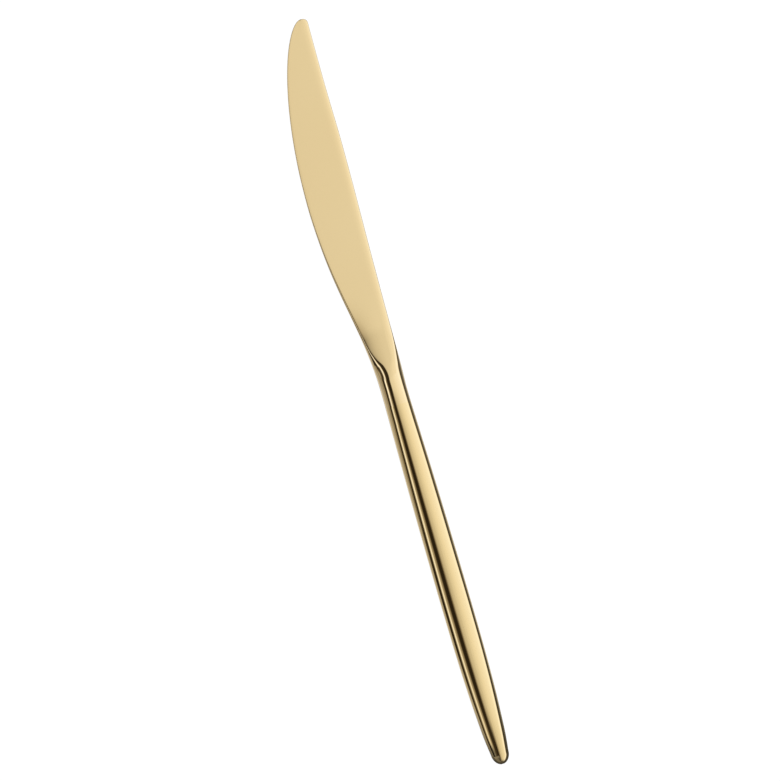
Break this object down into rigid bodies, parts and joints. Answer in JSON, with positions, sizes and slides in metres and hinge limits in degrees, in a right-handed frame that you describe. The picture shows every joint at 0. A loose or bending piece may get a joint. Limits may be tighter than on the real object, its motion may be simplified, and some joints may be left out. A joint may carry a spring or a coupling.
{
  "type": "table knife",
  "caption": "Slim table knife with a hollow handle that swells at the neck, a ramp to a flat blade, a curved cutting edge and a nearly straight back.",
  "frame": {"origin": "under the middle of the knife's box, on the surface that it lies on", "axes": "+X from the butt to the tip, +Y from the back of the blade to the cutting edge, +Z out of the shown face of the blade"},
  "size_m": [0.235, 0.0158, 0.0076],
  "materials": {
    "gilt_steel": "polished, pale gold coating",
    "gilt_shell": "polished, pale gold coating",
    "gilt_braze": "ground flush, pale gold coating outside",
    "cement": "cast cement, unseen",
    "plain_steel": "drawn rod, unseen"
  },
  "bodies": {
    "root": {"blade": "gilt_steel", "handle_front_shell": "gilt_shell", "handle_back_shell": "gilt_shell", "seam_braze_edge": "gilt_braze", "seam_braze_spine": "gilt_braze", "neck_braze": "gilt_braze", "handle_filling": "cement", "balance_rod": "plain_steel"}
  },
  "joints": []
}
